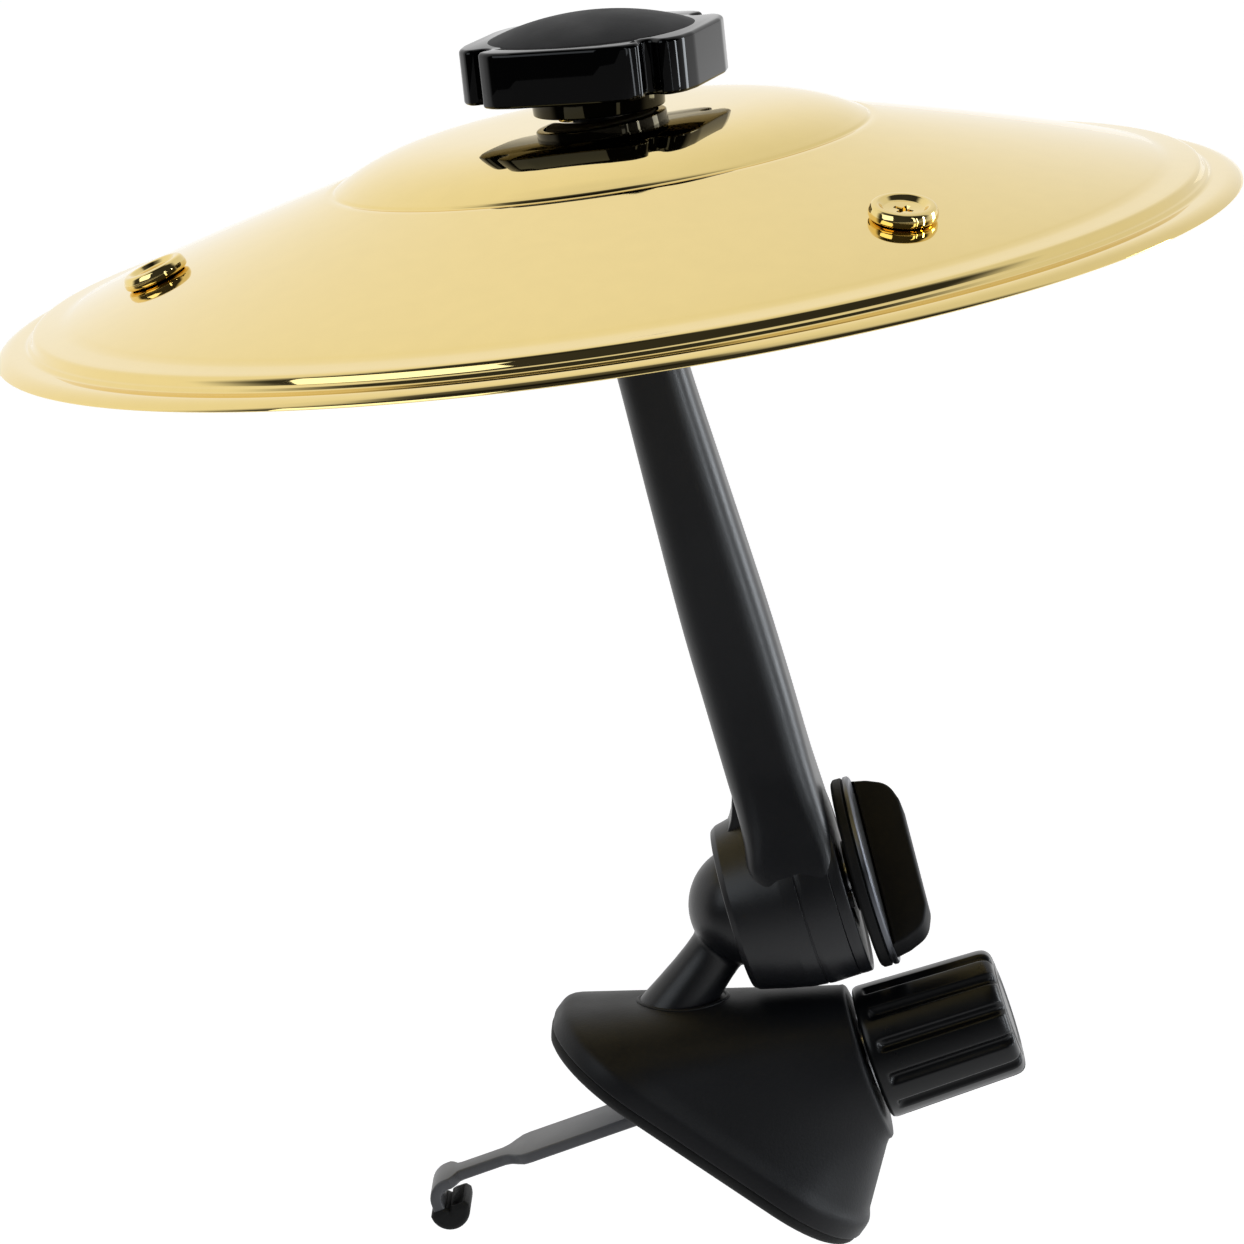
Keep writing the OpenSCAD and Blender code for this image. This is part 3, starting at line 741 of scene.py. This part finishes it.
# ---------- lock knob ----------
disc = lathe(arc_prof(
    [(2.4, -15.55), (11.8, -15.55), (12.3, -15.5), (13.1, -15.5),
     (13.5, -15.9), (13.5, -16.9), (13.2, -17.1), (11.5, -17.1)],
    [0, 0.1, 0.1, 0.3, 0.25, 0.15, 0.05, 0]), 128)
ring = lathe(arc_prof(
    [(11.2, -17.12), (13.2, -17.12), (13.5, -17.35), (13.52, -17.85),
     (13.25, -18.1), (12.1, -18.14), (11.2, -18.14)],
    [0, 0.12, 0.1, 0.15, 0.1, 0.1, 0]), 128)
plate = lathe(arc_prof(
    [(11.4, -17.2), (11.4, -18.0), (11.0, -18.2), (ON_AXIS, -18.2)], [0, 0.1, 0.2, 0], 4), 128)
screw = lathe([(ON_AXIS, -17.9), (2.4, -17.9), (2.4, -11.2), (ON_AXIS, -11.2)], 48)
wing = fillet(
    [(-12.95, 0), (-12.5, 2.0), (-11.2, 4.9), (-8.2, 5.95), (8.2, 5.95),
     (11.2, 4.9), (12.5, 2.0), (12.95, 0), (11.5, -0.6), (-11.5, -0.6)],
    [0.1, 3, 3.4, 3.5, 3.5, 3.4, 3, 0.1, 0, 0])
wing_place = tr(0, -15.8 - 18.1, 30.6) @ turn(40, "Y") @ WING_AXES
wing_part = move(slab(wing, -2.4, 2.4, 0.45, 0.45, 5), wing_place)
piece("lock_screw_body", screw, "lock_wheel", "steel", ["lock_screw"], SOCKET)
piece("lock_knob_body", join(move(disc, SOCKET), move(plate, SOCKET), wing_part),
      "lock_wheel", "matte_black", ["lock_knob"], sharp=38)
piece("lock_knob_ring", ring, "lock_wheel", "ring_metal", ["lock_ring"], SOCKET)


# ---------- hook ----------
STRIP_WIDTH = 9.7
STRIP_NECK = 3.9
STRIP_END = 8.0
GRIP_START = 27     # first point of the path that the rubber sleeve covers

# y, z and the direction of the strip's outer side
path = [(y, 0.0, (0, 1)) for y in (
    23, 30, 40, 50, 58, 60, 61, 62, 63, 64, 65, 67.5, 70.2, 70.8, 71.4, 72.0, 72.6)]
for a in [math.radians(10 * k) for k in range(1, 10)]:
    path.append((72.6 + 2.2 * math.sin(a), -2.2 + 2.2 * math.cos(a), (math.sin(a), math.cos(a))))
path += [(74.8, z, (1, 0)) for z in (-2.7, -3.2, -3.7)]
for a in [math.radians(10 * k) for k in range(1, 19)]:
    path.append((73.4 + 1.4 * math.cos(a), -3.7 - 1.4 * math.sin(a), (math.cos(a), -math.sin(a))))
path.append((72.0, -3.1, (-1, 0)))


def ease(t):
    return 3 * t * t - 2 * t ** 3


def strip_width(y):
    """The strip is wide, narrows to a neck and widens again before it bends down."""
    if y <= 60.4:
        return STRIP_WIDTH
    if y <= 63.9:
        return STRIP_WIDTH + (STRIP_NECK - STRIP_WIDTH) * ease((y - 60.4) / 3.5)
    if y <= 70.5:
        return STRIP_NECK
    return STRIP_NECK + (STRIP_END - STRIP_NECK) * ease(min(1, (y - 70.5) / 1.5))


def bar_ring(point, width, thick, r):
    """The section of a flat bar at a point of the path."""
    y, z, out = point
    w, t = width / 2, thick / 2
    section = fillet([(-w, -t), (w, -t), (w, t), (-w, t)], [r] * 4, 4)
    return [(u, y + out[0] * v, z + out[1] * v) for u, v in section]


HOOK = CLAMP @ tr(0, 60, 2.1) @ rx(-1.5) @ tr(0, -60, 0)
rows = [bar_ring(p, strip_width(p[0]), 1.6, 0.35) for p in path]
piece("hook_bar", rings(rows, True, True), "hook", "coated_steel", ["hook_strip"], HOOK, sharp=35)
covered = path[GRIP_START:]
rows = [bar_ring(p, 8.9, 2.9, 0.7) for p in covered]
rows[0] = bar_ring(covered[0], 8.3, 2.2, 0.7)
rows[-1] = bar_ring(covered[-1], 8.3, 2.2, 0.7)
piece("hook_sleeve", rings(rows, True, True), "hook", "rubber", ["hook_grip"], HOOK, sharp=40)
